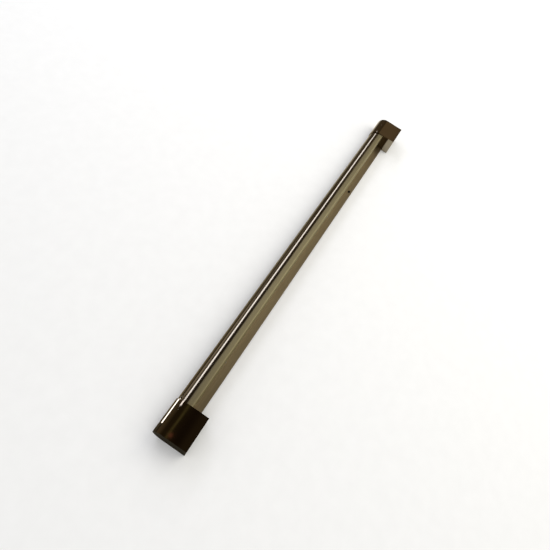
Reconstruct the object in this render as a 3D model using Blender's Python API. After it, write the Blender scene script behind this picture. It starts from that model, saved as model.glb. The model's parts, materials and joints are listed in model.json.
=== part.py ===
"""Slim infrared heat lamp warmer: a polished D-section bar between two end blocks.

Every piece is drawn with x along the bar from its middle, y as depth from the blocks' rounded
front, and z up from the surface under the blocks.  One empty then puts the middle of the whole
object's footprint at the world's origin.  Metres throughout.
"""
import math

import bmesh
import bpy
from mathutils import Matrix, Vector

# ---------------------------------------------------------------- driving dimensions
MM = 0.001
GAP = 0.3 * MM                   # air kept between neighbours that touch

OVERALL_LENGTH = 914 * MM        # outer face of one block to outer face of the other
BLOCK_LENGTH = 59 * MM           # along the bar
BLOCK_DEPTH = 61 * MM            # rounded front to mounting face
BLOCK_HEIGHT = 39 * MM           # its front is a full half-round of half this height
BLOCK_WALL = 1.5 * MM

BAR_RADIUS = 17.5 * MM           # half-round front of the bar, level with the blocks' middle
BAR_RECESS = 1.6 * MM            # the bar's front sits this far behind the blocks' front
BAR_BACK = 31 * MM               # depth of the bar's upright back wall
BAR_SHEET = 1.2 * MM
BAR_CORNER = 3.5 * MM            # soft bend between top and back
BAR_LIP_ANGLE = 232              # where the sheet stops under the nose, degrees from +y
BAR_ENTRY = 6 * MM               # how far the bar reaches into each block

RAIL_EDGE = 45.8 * MM            # rear edge of the flat rail behind the bar
RAIL_BOTTOM = 2.4 * MM
RAIL_SHEET = 1.2 * MM
RAIL_UPRIGHT = 14.6 * MM         # height of the rail's leg inside the bar
RAIL_ENTRY = 54 * MM             # how far the rail reaches into each block

SHIELD_FRONT = 8 * MM
SHIELD_TOP = 26 * MM
SHIELD_FRONT_BOTTOM = 12 * MM
SHIELD_REAR_BOTTOM = 9 * MM
SHIELD_SHEET = 0.6 * MM

LAMP_DEPTH = 17.5 * MM           # the lamp's axis
LAMP_HEIGHT = 14.5 * MM
TUBE_RADIUS = 4.5 * MM
TUBE_WALL = 0.9 * MM
TUBE_HALF = 390 * MM
LAMP_CAP_LENGTH = 18 * MM

REFLECTOR_SHEET = 0.6 * MM
REFLECTOR_RADIUS = 7.6 * MM
REFLECTOR_AXIS_HEIGHT = 16.5 * MM
REFLECTOR_MOUTH = 7.2 * MM       # height of the reflector's lower edges
REFLECTOR_HALF = 383 * MM
REFLECTOR_FRONT = 9.6 * MM
REFLECTOR_TOP = 25 * MM

GUARD_BOTTOM = 3.4 * MM
GUARD_SHEET = 1.2 * MM
GUARD_FRONT = 10.2 * MM
GUARD_REAR = 27.2 * MM
GUARD_HALF = 396 * MM
GUARD_BAR = 1.8 * MM
GUARD_CELLS = 21

BRACKET_SHEET = 2 * MM
BRACKET_FOOT_FRONT = 38 * MM
MOUNT_HOLE_RADIUS = 2.25 * MM
MOUNT_HOLE_OFFSET = 20 * MM      # each side of a block's middle
MOUNT_HOLE_HEIGHT = 20.5 * MM
COVER_SCREW_OFFSET = 18 * MM
COVER_SCREW_DEPTH = 41 * MM

SCREW_HOLE_RADIUS = 1.6 * MM     # clearance for the M2.6 screws
GUARD_HOLE_RADIUS = 1.5 * MM
EARTH_HOLE_RADIUS = 1.8 * MM     # clearance for the two M3 screws
DRILL_LENGTH = 6 * MM            # how far a drill passes through thin sheet
LONG_DRILL_LENGTH = 8 * MM

CABLE_HOLE_RADIUS = 5.3 * MM
CABLE_HOLE_HEIGHT = 28 * MM

SWITCH_DEPTH = 38 * MM           # the switch's middle on the left block's end wall
SWITCH_HEIGHT = 20 * MM
ROCKER_REST_TILT = 10            # degrees, and as much the other way when it is on
ROCKER_HALF = 5.9 * MM           # half height of the rocker's face
ROCKER_RISE = 2.6 * MM           # height of the face's ends above the hinge

# ---------------------------------------------------------------- worked out from them
HALF_LENGTH = OVERALL_LENGTH / 2
INNER_FACE = HALF_LENGTH - BLOCK_LENGTH
BLOCK_MIDDLE = HALF_LENGTH - BLOCK_LENGTH / 2
BLOCK_RADIUS = BLOCK_HEIGHT / 2
BAR_AXIS = BAR_RECESS + BAR_RADIUS
BAR_TOP = BLOCK_RADIUS + BAR_RADIUS
BAR_HALF = INNER_FACE + BAR_ENTRY
RAIL_TOP = RAIL_BOTTOM + RAIL_SHEET
RAIL_LEG_REAR = BAR_BACK - BAR_SHEET - GAP
RAIL_LEG_FRONT = RAIL_LEG_REAR - RAIL_SHEET
RAIL_HALF = INNER_FACE + RAIL_ENTRY
REFLECTOR_REAR = RAIL_LEG_FRONT - 1.1 * MM
LAMP_CAP_START = TUBE_HALF + GAP
LAMP_CAP_END = LAMP_CAP_START + LAMP_CAP_LENGTH
ROCKER_TILT = math.radians(ROCKER_REST_TILT)
SWITCH_PROUD = ROCKER_RISE * math.cos(ROCKER_TILT) + ROCKER_HALF * math.sin(ROCKER_TILT)
LEFT, RIGHT = -1, 1
SIDE_NAMES = {LEFT: "left", RIGHT: "right"}


# ---------------------------------------------------------------- scene and materials
def clear_scene():
    for obj in list(bpy.data.objects):
        bpy.data.objects.remove(obj, do_unlink=True)


def finish_material(name, colour, roughness, metallic):
    material = bpy.data.materials.get(name) or bpy.data.materials.new(name)
    material.use_nodes = True
    shader = material.node_tree.nodes["Principled BSDF"]
    shader.inputs["Base Color"].default_value = (*colour, 1)
    shader.inputs["Roughness"].default_value = roughness
    shader.inputs["Metallic"].default_value = metallic
    material.diffuse_color = (*colour, 1)
    return material


FINISHES = {
    "block_chrome": ((0.030, 0.022, 0.014), 0.08, 1.0),
    "bar_steel": ((0.33, 0.29, 0.22), 0.22, 1.0),
    "rail_steel": ((0.23, 0.19, 0.13), 0.38, 1.0),
    "zinc_steel": ((0.50, 0.50, 0.48), 0.35, 1.0),
    "reflector": ((0.85, 0.84, 0.80), 0.08, 1.0),
    "quartz": ((0.92, 0.93, 0.92), 0.05, 0.0),
    "heating_wire": ((0.22, 0.20, 0.18), 0.45, 1.0),
    "ceramic": ((0.80, 0.77, 0.70), 0.50, 0.0),
    "brass": ((0.66, 0.50, 0.20), 0.30, 1.0),
    "black_plastic": ((0.015, 0.015, 0.015), 0.40, 0.0),
    "black_rubber": ((0.020, 0.020, 0.020), 0.75, 0.0),
    "lead_sleeve": ((0.62, 0.58, 0.50), 0.65, 0.0),
    "bright_wire": ((0.62, 0.61, 0.58), 0.22, 1.0),
    "dark_screw": ((0.060, 0.050, 0.040), 0.35, 1.0),
}


def add_empty(name, location, parent=None, tilt=0):
    """An empty that pieces hang from, tilted about the depth axis."""
    empty = bpy.data.objects.new(name, None)
    bpy.context.scene.collection.objects.link(empty)
    empty.parent = parent
    empty.location = location
    empty.rotation_euler = (0, tilt, 0)
    return empty


def make_object(name, mesh, finish, parent):
    obj = bpy.data.objects.new(name, mesh)
    bpy.context.scene.collection.objects.link(obj)
    obj.data.materials.append(finish_material(name + "_finish", *FINISHES[finish]))
    obj.parent = parent
    return obj


def mesh_from(bm, name, smooth=False):
    bmesh.ops.recalc_face_normals(bm, faces=bm.faces)
    mesh = bpy.data.meshes.new(name)
    bm.to_mesh(mesh)
    bm.free()
    if smooth:
        mesh.shade_smooth()
        mesh.set_sharp_from_angle(angle=math.radians(35))
    return mesh


# ---------------------------------------------------------------- outlines in the y-z plane
def arc(centre, radius, start, end, steps):
    """Points on a circle, from the start angle to the end angle in degrees."""
    points = []
    for i in range(steps + 1):
        angle = math.radians(start + (end - start) * i / steps)
        points.append((centre[0] + radius * math.cos(angle),
                       centre[1] + radius * math.sin(angle)))
    return points


def offset_path(path, distance):
    """The path moved to its right-hand side by the distance, with mitred corners."""
    moved = []
    for i, point in enumerate(path):
        normals = []
        for a, b in ((i - 1, i), (i, i + 1)):
            if a >= 0 and b < len(path):
                step = Vector(path[b]) - Vector(path[a])
                normals.append(Vector((step.y, -step.x)).normalized())
        normal = sum(normals, Vector((0, 0)))
        normal *= 1 / (1 + normals[0].dot(normals[-1])) if len(normals) == 2 else 1
        moved.append(tuple(Vector(point) + normal * distance))
    return moved


def ribbon(path, thickness):
    """Closed outline of a sheet of this thickness lying to the right of the path."""
    return path + offset_path(path, thickness)[::-1]


def bar_path():
    """Outer line of the bar's sheet: under the nose, round the front, over the top, down the back."""
    nose = arc((BAR_AXIS, BLOCK_RADIUS), BAR_RADIUS, BAR_LIP_ANGLE, 90, 22)
    corner = arc((BAR_BACK - BAR_CORNER, BAR_TOP - BAR_CORNER), BAR_CORNER, 90, 0, 5)
    return nose + corner + [(BAR_BACK, RAIL_TOP + GAP)]


def block_outline(inset):
    """A block's section, moved inwards by the inset; the rear stays where it is."""
    nose = arc((BLOCK_RADIUS, BLOCK_RADIUS), BLOCK_RADIUS - inset, 270, 90, 24)
    return nose + [(BLOCK_DEPTH, BLOCK_HEIGHT - inset), (BLOCK_DEPTH, inset)]


def reflector_path():
    front = LAMP_DEPTH - REFLECTOR_RADIUS - 0.4 * MM
    rear = LAMP_DEPTH + REFLECTOR_RADIUS + 0.4 * MM
    crown = arc((LAMP_DEPTH, REFLECTOR_AXIS_HEIGHT), REFLECTOR_RADIUS, 180, 0, 14)
    return ([(front, REFLECTOR_MOUTH)] + crown
            + [(rear, REFLECTOR_MOUTH), (REFLECTOR_REAR, REFLECTOR_MOUTH)])


# ---------------------------------------------------------------- solids
def push_faces(bm, faces, travel):
    """Extrude the faces along the travel vector, which makes a closed solid of them."""
    grown = bmesh.ops.extrude_face_region(bm, geom=faces)
    verts = [item for item in grown["geom"] if isinstance(item, bmesh.types.BMVert)]
    bmesh.ops.translate(bm, verts=verts, vec=travel)


def extruded(corners, travel):
    """A flat outline of corners, extruded along the travel vector."""
    bm = bmesh.new()
    face = bm.faces.new([bm.verts.new(corner) for corner in corners])
    push_faces(bm, [face], travel)
    return bm


def prism_bmesh(outline, x_start, x_end):
    return extruded([(x_start, y, z) for y, z in outline], (x_end - x_start, 0, 0))


def prism(name, outline, x_start, x_end, finish, parent, smooth=True):
    """An outline in the y-z plane extruded along x."""
    bm = prism_bmesh(outline, min(x_start, x_end), max(x_start, x_end))
    return make_object(name, mesh_from(bm, name, smooth), finish, parent)


def add_box(bm, low, high):
    """A box between two corners, added to the bmesh."""
    low, high = Vector(low), Vector(high)
    size = high - low
    matrix = Matrix.Translation((low + high) / 2) @ Matrix.Diagonal((*size, 1))
    bmesh.ops.create_cube(bm, size=1, matrix=matrix)


def box(name, low, high, finish, parent):
    bm = bmesh.new()
    add_box(bm, low, high)
    return make_object(name, mesh_from(bm, name), finish, parent)


def add_circles(bm, pairs, origin, axis, segments):
    """Rings of vertices round the axis, one for each (distance along the axis, radius) pair."""
    origin, axis = Vector(origin), Vector(axis).normalized()
    turn = Vector((0, 0, 1)).rotation_difference(axis).to_matrix()
    rings = []
    for along, radius in pairs:
        ring = []
        for i in range(segments):
            angle = 2 * math.pi * i / segments
            local = Vector((radius * math.cos(angle), radius * math.sin(angle), along))
            ring.append(bm.verts.new(origin + turn @ local))
        rings.append(ring)
    return rings


def bridge(bm, near, far):
    """Side faces between two rings with the same number of vertices."""
    for i in range(len(near)):
        j = (i + 1) % len(near)
        bm.faces.new((near[i], near[j], far[j], far[i]))


def add_turning(bm, profile, origin, axis, segments=16):
    """A turned solid: (distance along the axis, radius) pairs from one pole to the other."""
    rings = add_circles(bm, profile, origin, axis, segments)
    for lower, upper in zip(rings, rings[1:]):
        bridge(bm, lower, upper)
    bm.faces.new(rings[0][::-1])
    bm.faces.new(rings[-1])


def turning(name, profile, origin, axis, finish, parent, segments=16):
    bm = bmesh.new()
    add_turning(bm, profile, origin, axis, segments)
    return make_object(name, mesh_from(bm, name, smooth=True), finish, parent)


def add_ring(bm, section, origin, axis, segments=16):
    """A turned ring: its section is a closed loop of (distance along the axis, radius)."""
    rings = add_circles(bm, section, origin, axis, segments)
    for near, far in zip(rings, rings[1:] + rings[:1]):
        bridge(bm, near, far)


def cutter(name, bm, parent):
    obj = bpy.data.objects.new(name, mesh_from(bm, name))
    bpy.context.scene.collection.objects.link(obj)
    obj.parent = parent
    obj.hide_render = True
    obj.display_type = "WIRE"
    return obj


def cut(target, *tools):
    for tool in tools:
        modifier = target.modifiers.new("cut_" + tool.name, "BOOLEAN")
        modifier.operation = "DIFFERENCE"
        modifier.solver = "EXACT"
        modifier.object = tool


def hole_cutter(name, radius, points, axis, length, parent, segments=12):
    """One cutter with a plain round hole through each point, centred on it."""
    bm = bmesh.new()
    for point in points:
        start = Vector(point) - Vector(axis).normalized() * length / 2
        add_turning(bm, [(0, radius), (length, radius)], start, axis, segments)
    return cutter(name, bm, parent)


def lead(name, points, radius, finish, parent):
    """An insulated lead: a round tube through hand-placed points."""
    curve = bpy.data.curves.new(name, "CURVE")
    curve.dimensions = "3D"
    curve.bevel_depth = radius
    curve.bevel_resolution = 1
    curve.use_fill_caps = True
    spline = curve.splines.new("POLY")
    spline.points.add(len(points) - 1)
    for spot, point in zip(spline.points, points):
        spot.co = (*point, 1)
    return make_object(name, curve, finish, parent)


# ---------------------------------------------------------------- screws and rivets
def pan_screw_profile(head_radius, head_height, shank_radius, shank_length):
    """From the screw's tip to the crown of its domed head."""
    return [(-shank_length, shank_radius * 0.6), (-shank_length + shank_radius * 0.5, shank_radius),
            (0, shank_radius), (0, head_radius), (head_height * 0.45, head_radius),
            (head_height * 0.85, head_radius * 0.7), (head_height, head_radius * 0.3)]


def screws(name, profile, places, axis, finish, parent):
    """One turned fastener at each place, numbered; the axis points out of the heads."""
    for number, place in enumerate(places, start=1):
        turning(f"{name}_{number}", profile, place, axis, finish, parent, 12)


# ---------------------------------------------------------------- the bar between the blocks
RIVET_STATIONS = [-300 * MM, -100 * MM, 100 * MM, 300 * MM]
RIVET_HEIGHT = 12 * MM
RIVET_RADIUS = 1.3 * MM
BONDING_SCREW = (-208 * MM, 39.3 * MM)   # the single screw on top of the rail
CUTOUT_STATION = -170 * MM
CUTOUT_RADIUS = 4.6 * MM
CUTOUT_TAG_REACH = 11 * MM               # from the cut-out's middle to a tag's tip
CUTOUT_TAG_BOTTOM = 29 * MM


def cover_screw_places(side, height):
    """Where the two cover screws of one block pass this height."""
    return [(side * BLOCK_MIDDLE + along, COVER_SCREW_DEPTH, height)
            for along in (-COVER_SCREW_OFFSET, COVER_SCREW_OFFSET)]


def build_bar(frame):
    """Housing shell, rear rail and heat shield, with the rivets and the screw that join them."""
    rivet_points = [(x, BAR_BACK - 2 * MM, RIVET_HEIGHT) for x in RIVET_STATIONS]
    rivet_holes = hole_cutter("rivet_holes", RIVET_RADIUS + GAP, rivet_points, (0, 1, 0),
                              LONG_DRILL_LENGTH, frame)

    shell = prism("housing_shell", ribbon(bar_path(), BAR_SHEET), -BAR_HALF, BAR_HALF,
                  "bar_steel", frame)
    cut(shell, rivet_holes)

    leg_top = RAIL_BOTTOM + RAIL_UPRIGHT
    rail_section = [(RAIL_LEG_FRONT, leg_top), (RAIL_LEG_REAR, leg_top), (RAIL_LEG_REAR, RAIL_TOP),
                    (RAIL_EDGE, RAIL_TOP), (RAIL_EDGE, RAIL_BOTTOM), (RAIL_LEG_FRONT, RAIL_BOTTOM)]
    rail = prism("rear_rail", rail_section, -RAIL_HALF, RAIL_HALF, "rail_steel", frame, smooth=False)
    bonding_hole = hole_cutter("bonding_hole", EARTH_HOLE_RADIUS, [(*BONDING_SCREW, RAIL_TOP)],
                               (0, 0, 1), DRILL_LENGTH, frame)
    screw_points = [point for side in (LEFT, RIGHT) for point in cover_screw_places(side, RAIL_TOP)]
    rail_screw_holes = hole_cutter("rail_screw_holes", SCREW_HOLE_RADIUS, screw_points, (0, 0, 1),
                                   DRILL_LENGTH, frame)
    holder_holes = hole_cutter("holder_screw_holes", SCREW_HOLE_RADIUS,
                               [(side * HOLDER_MIDDLE, RAIL_LEG_FRONT, HOLDER_SCREW_HEIGHT)
                                for side in (LEFT, RIGHT)], (0, 1, 0), DRILL_LENGTH, frame)
    cut(rail, rivet_holes, bonding_hole, rail_screw_holes, holder_holes)

    rivet_profile = [(-4.6 * MM, 1.9 * MM), (-4.1 * MM, 2.1 * MM), (-3.7 * MM, 2.1 * MM),
                     (-3.7 * MM, RIVET_RADIUS), (GAP, RIVET_RADIUS), (GAP, 2.4 * MM),
                     (0.7 * MM, 2.2 * MM), (1.0 * MM, 1.2 * MM)]
    screws("housing_rivet", rivet_profile, [(x, BAR_BACK, RIVET_HEIGHT) for x in RIVET_STATIONS],
           (0, 1, 0), "zinc_steel", frame)
    turning("bonding_screw", pan_screw_profile(3 * MM, 1.7 * MM, 1.45 * MM, 3 * MM),
            (*BONDING_SCREW, RAIL_TOP + GAP), (0, 0, 1), "dark_screw", frame, 16)

    shield_rear = RAIL_LEG_FRONT - GAP
    shield = [(SHIELD_FRONT, SHIELD_FRONT_BOTTOM), (SHIELD_FRONT, SHIELD_TOP),
              (shield_rear, SHIELD_TOP), (shield_rear, SHIELD_REAR_BOTTOM)]
    shield_half = INNER_FACE - 2 * MM
    heat_shield = prism("heat_shield", ribbon(shield, SHIELD_SHEET), -shield_half, shield_half,
                        "zinc_steel", frame, smooth=False)
    cut(heat_shield, rivet_holes)


def build_cutout(frame):
    """Disc thermal cut-out clipped on top of the heat shield, with two blade tags."""
    base = (CUTOUT_STATION, LAMP_DEPTH, SHIELD_TOP + GAP)
    flange_radius, flange_height, body_height = 5.4 * MM, 1.2 * MM, 5.2 * MM
    profile = [(0, flange_radius), (flange_height, flange_radius), (flange_height, CUTOUT_RADIUS),
               (body_height - 0.6 * MM, CUTOUT_RADIUS), (body_height, CUTOUT_RADIUS - 0.6 * MM)]
    turning("thermal_cutout", profile, base, (0, 0, 1), "black_plastic", frame, 20)
    for side in (LEFT, RIGHT):
        near, far = sorted((CUTOUT_STATION + side * (CUTOUT_RADIUS + GAP),
                            CUTOUT_STATION + side * CUTOUT_TAG_REACH))
        box("cutout_tag_" + SIDE_NAMES[side], (near, LAMP_DEPTH - 2 * MM, CUTOUT_TAG_BOTTOM),
            (far, LAMP_DEPTH + 2 * MM, CUTOUT_TAG_BOTTOM + 0.8 * MM), "brass", frame)


# ---------------------------------------------------------------- reflector, lamp and guard
END_PLATE_SHEET = 1 * MM
END_PLATE_START = REFLECTOR_HALF + GAP
END_FOOT_LENGTH = 9 * MM
END_FOOT_BOTTOM = GUARD_BOTTOM + GUARD_SHEET + GAP
GUARD_SCREW_X = END_PLATE_START + 5.5 * MM


def build_reflector(frame):
    prism("reflector", ribbon(reflector_path(), REFLECTOR_SHEET), -REFLECTOR_HALF, REFLECTOR_HALF,
          "reflector", frame)
    for side in (LEFT, RIGHT):
        build_reflector_end(side, frame)


def build_reflector_end(side, frame):
    """Plate across the reflector's end, with a hole for the tube and a foot for the guard."""
    name = "reflector_end_" + SIDE_NAMES[side]
    upright = END_PLATE_START + END_PLATE_SHEET
    foot_end = END_PLATE_START + END_FOOT_LENGTH
    foot_top = END_FOOT_BOTTOM + END_PLATE_SHEET
    section = [(END_PLATE_START, REFLECTOR_TOP), (upright, REFLECTOR_TOP), (upright, foot_top),
               (foot_end, foot_top), (foot_end, END_FOOT_BOTTOM), (END_PLATE_START, END_FOOT_BOTTOM)]
    bm = extruded([(side * x, REFLECTOR_FRONT, z) for x, z in section],
                  (0, REFLECTOR_REAR - REFLECTOR_FRONT, 0))
    plate = make_object(name, mesh_from(bm, name), "zinc_steel", frame)
    tube_hole = hole_cutter(name + "_tube_hole", TUBE_RADIUS + 0.5 * MM,
                            [(side * END_PLATE_START, LAMP_DEPTH, LAMP_HEIGHT)], (1, 0, 0),
                            DRILL_LENGTH, frame, 20)
    screw_hole = hole_cutter(name + "_screw_hole", GUARD_HOLE_RADIUS,
                             [(side * GUARD_SCREW_X, LAMP_DEPTH, END_FOOT_BOTTOM)], (0, 0, 1),
                             DRILL_LENGTH, frame)
    cut(plate, tube_hole, screw_hole)


def build_lamp(frame):
    """Quartz tube with its coil, and a ceramic cap with a contact pin on each end."""
    bore = TUBE_RADIUS - TUBE_WALL
    bm = bmesh.new()
    add_ring(bm, [(-TUBE_HALF, TUBE_RADIUS), (TUBE_HALF, TUBE_RADIUS), (TUBE_HALF, bore),
                  (-TUBE_HALF, bore)], (0, LAMP_DEPTH, LAMP_HEIGHT), (1, 0, 0), 20)
    make_object("quartz_tube", mesh_from(bm, "quartz_tube", smooth=True), "quartz", frame)

    coil_half, coil_radius, tail_radius = 376 * MM, 1.6 * MM, 0.5 * MM
    coil = [(-TUBE_HALF, tail_radius), (-coil_half, tail_radius), (-coil_half, coil_radius),
            (coil_half, coil_radius), (coil_half, tail_radius), (TUBE_HALF, tail_radius)]
    turning("heating_coil", coil, (0, LAMP_DEPTH, LAMP_HEIGHT), (1, 0, 0), "heating_wire", frame, 10)

    cap = [(LAMP_CAP_START, 4.6 * MM), (LAMP_CAP_START + 1 * MM, 5 * MM),
           (LAMP_CAP_END - 1.2 * MM, 5 * MM), (LAMP_CAP_END, 3.8 * MM)]
    pin = [(LAMP_CAP_END + GAP, 1.8 * MM), (LAMP_CAP_END + 1.6 * MM, 1.8 * MM),
           (LAMP_CAP_END + 2.1 * MM, 1.1 * MM)]
    for side in (LEFT, RIGHT):
        turning("lamp_cap_" + SIDE_NAMES[side], cap, (0, LAMP_DEPTH, LAMP_HEIGHT), (side, 0, 0),
                "ceramic", frame, 16)
        turning("lamp_pin_" + SIDE_NAMES[side], pin, (0, LAMP_DEPTH, LAMP_HEIGHT), (side, 0, 0),
                "zinc_steel", frame, 12)


def build_tube_supports(frame):
    """Hooks of spring strip that hold the long tube off the reflector at its third points."""
    hook = [(LAMP_DEPTH, 23 * MM)]
    hook += arc((LAMP_DEPTH, LAMP_HEIGHT), TUBE_RADIUS + GAP + 0.6 * MM, 90, -200, 14)
    for side in (LEFT, RIGHT):
        station = side * TUBE_HALF / 3
        prism("tube_support_" + SIDE_NAMES[side], ribbon(hook, 0.6 * MM), station - 2 * MM,
              station + 2 * MM, "bright_wire", frame)


def build_guard(frame):
    """Flat ladder grille below the lamp: two long bars and evenly spaced rungs."""
    pitch = (2 * GUARD_HALF - GUARD_BAR) / GUARD_CELLS
    xs = []
    for i in range(GUARD_CELLS + 1):
        start = -GUARD_HALF + i * pitch
        xs += [start, start + GUARD_BAR]
    end_pad = 9.5 * MM
    xs[1], xs[-2] = -GUARD_HALF + end_pad, GUARD_HALF - end_pad
    ys = [GUARD_FRONT, GUARD_FRONT + GUARD_BAR, GUARD_REAR - GUARD_BAR, GUARD_REAR]
    bm = bmesh.new()
    grid = [[bm.verts.new((x, y, GUARD_BOTTOM)) for y in ys] for x in xs]
    for i in range(len(xs) - 1):
        for j in range(len(ys) - 1):
            if i % 2 == 1 and j == 1:
                continue                 # an opening between two rungs
            bm.faces.new((grid[i][j], grid[i + 1][j], grid[i + 1][j + 1], grid[i][j + 1]))
    push_faces(bm, list(bm.faces), (0, 0, GUARD_SHEET))
    guard = make_object("lamp_guard", mesh_from(bm, "lamp_guard"), "bright_wire", frame)
    places = [(side * GUARD_SCREW_X, LAMP_DEPTH, GUARD_BOTTOM) for side in (LEFT, RIGHT)]
    cut(guard, hole_cutter("guard_screw_holes", GUARD_HOLE_RADIUS, places, (0, 0, 1),
                           DRILL_LENGTH, frame))
    screws("guard_screw", pan_screw_profile(2.3 * MM, 1.1 * MM, 1.2 * MM, 3.6 * MM),
           [(x, y, z - GAP) for x, y, z in places], (0, 0, -1), "zinc_steel", frame)


# ---------------------------------------------------------------- lamp holders inside the blocks
HOLDER_START = BAR_HALF + 1 * MM
HOLDER_END = HOLDER_START + 20 * MM
HOLDER_MIDDLE = (HOLDER_START + HOLDER_END) / 2 + 3 * MM
HOLDER_SCREW_HEIGHT = 10 * MM
POCKET_END = LAMP_CAP_END + 3 * MM
CONTACT_END = HOLDER_END + 3.2 * MM


def build_holder(side, frame):
    """Ceramic block with a pocket for the lamp's cap and a bore for its contact."""
    name = SIDE_NAMES[side]
    rear = RAIL_LEG_FRONT - GAP
    near, far = sorted((side * HOLDER_START, side * HOLDER_END))
    holder = box("lampholder_" + name, (near, 9.8 * MM, 6.5 * MM), (far, rear, 22.5 * MM),
                 "ceramic", frame)
    bm = bmesh.new()
    start = HOLDER_START - 5 * MM
    cap_room, contact_room = 5.6 * MM, 2.2 * MM
    pocket = [(start, cap_room), (POCKET_END, cap_room), (POCKET_END, contact_room),
              (HOLDER_END + 5 * MM, contact_room)]
    add_turning(bm, pocket, (0, LAMP_DEPTH, LAMP_HEIGHT), (side, 0, 0), 20)
    bores = cutter("holder_bores_" + name, bm, frame)
    tapped = hole_cutter("holder_thread_" + name, 1.5 * MM,
                         [(side * HOLDER_MIDDLE, rear, HOLDER_SCREW_HEIGHT)], (0, 1, 0),
                         LONG_DRILL_LENGTH, frame)
    cut(holder, bores, tapped)

    stem_radius, flange_radius, tail_radius = 1.8 * MM, 4.2 * MM, 1.6 * MM
    flange_end = HOLDER_END + 1.3 * MM
    contact = [(POCKET_END - 0.2 * MM, 1.5 * MM), (POCKET_END + 0.4 * MM, stem_radius),
               (HOLDER_END + GAP, stem_radius), (HOLDER_END + GAP, flange_radius),
               (flange_end, flange_radius), (flange_end, tail_radius), (CONTACT_END, tail_radius)]
    turning("lamp_contact_" + name, contact, (0, LAMP_DEPTH, LAMP_HEIGHT), (side, 0, 0),
            "brass", frame, 14)


def build_holder_screws(frame):
    places = [(side * HOLDER_MIDDLE, RAIL_LEG_REAR + GAP, HOLDER_SCREW_HEIGHT)
              for side in (LEFT, RIGHT)]
    screws("lampholder_screw", pan_screw_profile(2.6 * MM, 1.6 * MM, 1.2 * MM, 4.6 * MM), places,
           (0, 1, 0), "zinc_steel", frame)


# ---------------------------------------------------------------- end blocks
def build_cover(side, frame):
    """Polished cover: half-round front, flat top and bottom, closed ends, open at the rear."""
    name = SIDE_NAMES[side]
    inner, outer = sorted((side * INNER_FACE, side * HALF_LENGTH))
    cover = prism("end_cover_" + name, block_outline(0), inner, outer, "block_chrome", frame)

    hollow = block_outline(BLOCK_WALL)
    hollow[-2:] = [(BLOCK_DEPTH + 5 * MM, z) for y, z in hollow[-2:]]
    room = cutter("cover_room_" + name,
                  prism_bmesh(hollow, inner + BLOCK_WALL, outer - BLOCK_WALL), frame)

    passage = offset_path(bar_path(), -GAP)[:-1]
    passage += [(BAR_BACK + GAP, RAIL_TOP + GAP), (RAIL_EDGE + GAP, RAIL_TOP + GAP),
                (RAIL_EDGE + GAP, RAIL_BOTTOM - GAP), (RAIL_LEG_FRONT - GAP, RAIL_BOTTOM - GAP)]
    ends = sorted((side * (INNER_FACE - 2 * MM), side * (INNER_FACE + BLOCK_WALL + 2 * MM)))
    bar_hole = cutter("bar_hole_" + name, prism_bmesh(passage, *ends), frame)

    sinks = bmesh.new()
    sink = [(-1 * MM, 4.3 * MM), (BLOCK_WALL, 1.8 * MM), (BLOCK_WALL + 1 * MM, 1.8 * MM)]
    for place in cover_screw_places(side, 0):
        add_turning(sinks, sink, place, (0, 0, 1), 20)
    cut(cover, room, bar_hole, cutter("screw_sinks_" + name, sinks, frame))
    if side == LEFT:
        window = bmesh.new()
        half_height, half_width = SWITCH_BODY[0] + GAP, SWITCH_BODY[1] + GAP
        add_box(window, (-HALF_LENGTH - 2 * MM, SWITCH_DEPTH - half_width, SWITCH_HEIGHT - half_height),
                (-HALF_LENGTH + 4 * MM, SWITCH_DEPTH + half_width, SWITCH_HEIGHT + half_height))
        cut(cover, cutter("switch_window", window, frame))


def build_bracket(side, frame):
    """Bent wall plate: its upright is screwed to the wall and its foot takes the cover's screws."""
    name = SIDE_NAMES[side]
    foot_bottom = RAIL_TOP + GAP
    lift = BLOCK_WALL + GAP
    section = [(BRACKET_FOOT_FRONT, foot_bottom + BRACKET_SHEET), (BRACKET_FOOT_FRONT, foot_bottom),
               (BLOCK_DEPTH, foot_bottom), (BLOCK_DEPTH, BLOCK_HEIGHT - lift),
               (BLOCK_DEPTH - BRACKET_SHEET, BLOCK_HEIGHT - lift),
               (BLOCK_DEPTH - BRACKET_SHEET, foot_bottom + BRACKET_SHEET)]
    near, far = sorted((side * (INNER_FACE + lift), side * (HALF_LENGTH - lift)))
    bracket = prism("wall_bracket_" + name, section, near, far, "zinc_steel", frame, smooth=False)
    middle = side * BLOCK_MIDDLE
    wall_holes = [(middle + along, BLOCK_DEPTH, MOUNT_HOLE_HEIGHT)
                  for along in (-MOUNT_HOLE_OFFSET, MOUNT_HOLE_OFFSET)]
    cut(bracket,
        hole_cutter("wall_holes_" + name, MOUNT_HOLE_RADIUS, wall_holes, (0, 1, 0),
                    LONG_DRILL_LENGTH, frame, 20),
        hole_cutter("foot_holes_" + name, SCREW_HOLE_RADIUS, cover_screw_places(side, foot_bottom),
                    (0, 0, 1), LONG_DRILL_LENGTH, frame))
    if side == LEFT:
        inlet = [(middle, BLOCK_DEPTH, CABLE_HOLE_HEIGHT)]
        earth = [(*EARTH_SCREW, foot_bottom)]
        cut(bracket,
            hole_cutter("inlet_hole", CABLE_HOLE_RADIUS, inlet, (0, 1, 0), LONG_DRILL_LENGTH,
                        frame, 24),
            hole_cutter("earth_hole", EARTH_HOLE_RADIUS, earth, (0, 0, 1), LONG_DRILL_LENGTH,
                        frame))


def build_cover_screws(frame):
    """Countersunk screws, up through the cover and the rail into the wall bracket's foot."""
    profile = [(0.15 * MM, 2.9 * MM), (0.3 * MM, 2.9 * MM), (BLOCK_WALL, 1.3 * MM), (7 * MM, 1.3 * MM),
               (7.6 * MM, 0.7 * MM)]
    for side in (LEFT, RIGHT):
        screws("cover_screw_" + SIDE_NAMES[side], profile, cover_screw_places(side, 0), (0, 0, 1),
               "dark_screw", frame)


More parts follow.
